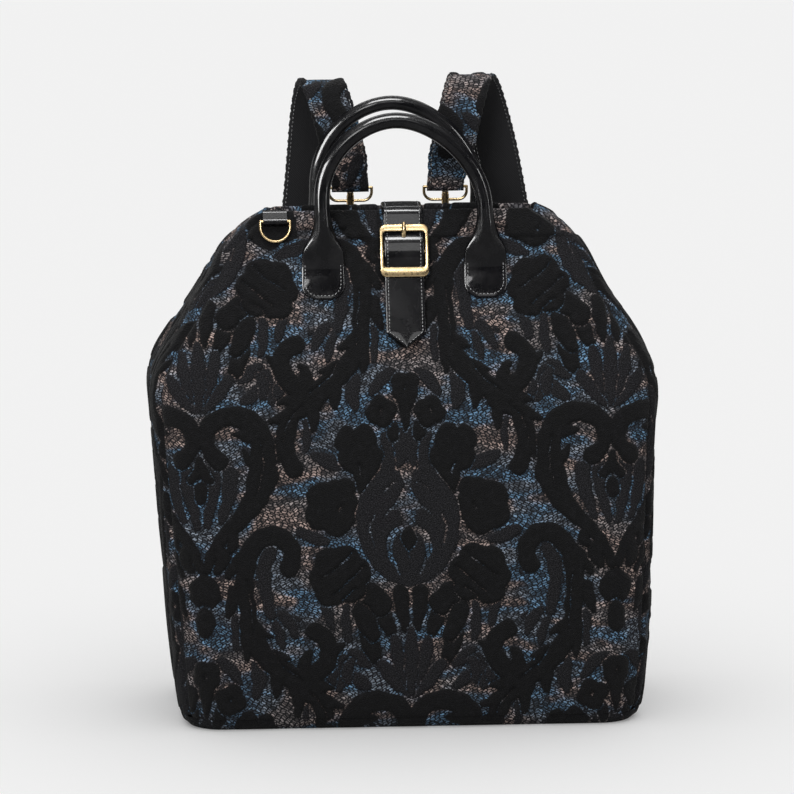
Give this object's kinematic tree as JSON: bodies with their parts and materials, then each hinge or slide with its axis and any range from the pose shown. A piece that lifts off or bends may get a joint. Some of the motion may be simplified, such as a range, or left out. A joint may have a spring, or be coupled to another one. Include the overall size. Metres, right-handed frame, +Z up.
{
  "type": "convertible backpack",
  "caption": "Carpet-bag style backpack with sloping shoulders, rolled handles, a buckled closure strap and clip-on shoulder straps.",
  "frame": {"origin": "middle of the base, on the surface that the bag stands on", "axes": "+Z up, the front of the bag faces -Y, +X to the right as seen from the front"},
  "size_m": [0.382, 0.1851, 0.4752],
  "materials": {
    "damask": "cut velvet on a woven ground",
    "black_leather": "smooth, glossy",
    "antique_brass": "darkened, worn bright at the edges",
    "board": "matte"
  },
  "bodies": {
    "bag": {"front_panel": "damask", "back_panel": "damask", "left_gusset": "damask", "right_gusset": "damask", "base_panel": "damask", "left_shoulder_strap": "damask", "right_shoulder_strap": "damask", "front_handle": "black_leather", "back_handle": "black_leather", "closure_strap": "black_leather", "buckle_chape": "black_leather", "charm_loop": "black_leather", "left_strap_anchor": "black_leather", "right_strap_anchor": "black_leather", "left_rear_ring_tab": "black_leather", "right_rear_ring_tab": "black_leather", "buckle_frame": "antique_brass", "left_hook_eye": "antique_brass", "right_hook_eye": "antique_brass", "base_board": "board"},
    "buckle_prong": {"buckle_prong": "antique_brass"},
    "charm_ring": {"charm_ring": "antique_brass"},
    "left_swivel_hook": {"left_swivel_hook": "antique_brass"},
    "left_hook_gate": {"left_hook_gate": "antique_brass"},
    "left_rear_ring": {"left_rear_ring": "antique_brass"},
    "right_swivel_hook": {"right_swivel_hook": "antique_brass"},
    "right_hook_gate": {"right_hook_gate": "antique_brass"},
    "right_rear_ring": {"right_rear_ring": "antique_brass"}
  },
  "joints": [
    {"name": "charm_ring_swing", "type": "hinge", "parent": "bag", "child": "charm_ring", "pos_m": [-0.096, -0.01636, 0.3795], "axis": [-1, 0, 0], "range_deg": [0, 150]},
    {"name": "prong_lift", "type": "hinge", "parent": "bag", "child": "buckle_prong", "pos_m": [0, -0.02563, 0.3571], "axis": [1, 0, 0], "range_deg": [0, 12]},
    {"name": "left_rear_ring_swing", "type": "hinge", "parent": "bag", "child": "left_rear_ring", "pos_m": [-0.036, 0.03996, 0.3358], "axis": [1, 0, 0], "range_deg": [-3, 3]},
    {"name": "left_hook_swivel", "type": "hinge", "parent": "bag", "child": "left_swivel_hook", "pos_m": [-0.036, 0.03996, 0.355], "axis": [0, 0, 1], "range_deg": [-25, 25]},
    {"name": "left_gate_open", "type": "hinge", "parent": "left_swivel_hook", "child": "left_hook_gate", "pos_m": [-0.036, 0.04689, 0.369], "axis": [-1, 0, 0], "range_deg": [0, 35], "stiffness_Nm_per_rad": 0.02},
    {"name": "right_rear_ring_swing", "type": "hinge", "parent": "bag", "child": "right_rear_ring", "pos_m": [0.036, 0.03996, 0.3358], "axis": [1, 0, 0], "range_deg": [-3, 3]},
    {"name": "right_hook_swivel", "type": "hinge", "parent": "bag", "child": "right_swivel_hook", "pos_m": [0.036, 0.03996, 0.355], "axis": [0, 0, 1], "range_deg": [-25, 25]},
    {"name": "right_gate_open", "type": "hinge", "parent": "right_swivel_hook", "child": "right_hook_gate", "pos_m": [0.036, 0.04689, 0.369], "axis": [-1, 0, 0], "range_deg": [0, 35], "stiffness_Nm_per_rad": 0.02}
  ]
}
